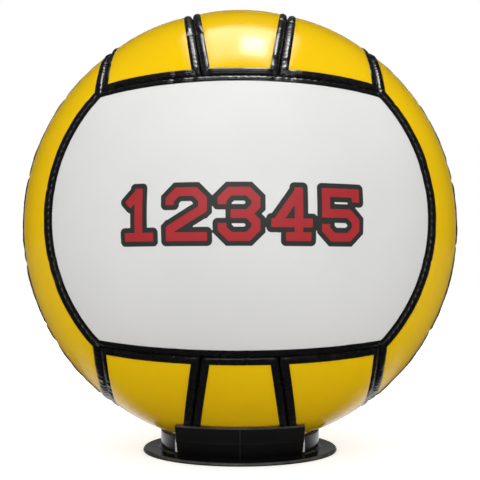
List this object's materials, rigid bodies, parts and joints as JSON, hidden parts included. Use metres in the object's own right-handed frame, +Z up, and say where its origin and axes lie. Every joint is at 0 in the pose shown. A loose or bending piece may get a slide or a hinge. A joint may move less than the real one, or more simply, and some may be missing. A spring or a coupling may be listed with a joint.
{
  "type": "water polo ball",
  "caption": "Inflated ball with a white front panel, yellow strip panels, rolled black edges at the seams and a needle valve, resting on a black ring stand with leaning tabs.",
  "frame": {"origin": "centre of the stand's underside, straight below the ball's centre", "axes": "+Z up through the ball's centre, -Y towards the white front panel, +X to the right as seen from the front"},
  "size_m": [0.22, 0.22, 0.2239],
  "materials": {
    "white_cover": "satin white vinyl",
    "yellow_cover": "glossy yellow vinyl",
    "black_edge": "glossy black vinyl, rolled into the seam",
    "lining_cloth": "woven cloth",
    "bladder_rubber": "matte black rubber",
    "valve_rubber": "satin black rubber",
    "stand_plastic": "glossy black moulded plastic"
  },
  "bodies": {
    "stand": {"display_stand": "stand_plastic"},
    "ball": {"panel_front": "white_cover", "panel_top_left": "yellow_cover", "panel_top_middle": "yellow_cover", "panel_top_right": "yellow_cover", "panel_bottom_left": "yellow_cover", "panel_bottom_middle": "yellow_cover", "panel_bottom_right": "yellow_cover", "panel_left_front": "yellow_cover", "panel_left_middle": "yellow_cover", "panel_left_back": "yellow_cover", "panel_right_front": "yellow_cover", "panel_right_middle": "yellow_cover", "panel_right_back": "yellow_cover", "panel_back_bottom": "yellow_cover", "panel_back_middle": "yellow_cover", "panel_back_top": "yellow_cover", "edge_front": "black_edge", "edge_top_left": "black_edge", "edge_top_middle": "black_edge", "edge_top_right": "black_edge", "edge_bottom_left": "black_edge", "edge_bottom_middle": "black_edge", "edge_bottom_right": "black_edge", "edge_left_front": "black_edge", "edge_left_middle": "black_edge", "edge_left_back": "black_edge", "edge_right_front": "black_edge", "edge_right_middle": "black_edge", "edge_right_back": "black_edge", "edge_back_bottom": "black_edge", "edge_back_middle": "black_edge", "edge_back_top": "black_edge", "lining": "lining_cloth", "bladder": "bladder_rubber", "valve_body": "valve_rubber", "valve_plug": "valve_rubber"}
  },
  "joints": [
    {"name": "ball_lift", "type": "slide", "parent": "stand", "child": "ball", "axis": [0, 0, 1], "range_m": [0, 0.05]}
  ]
}
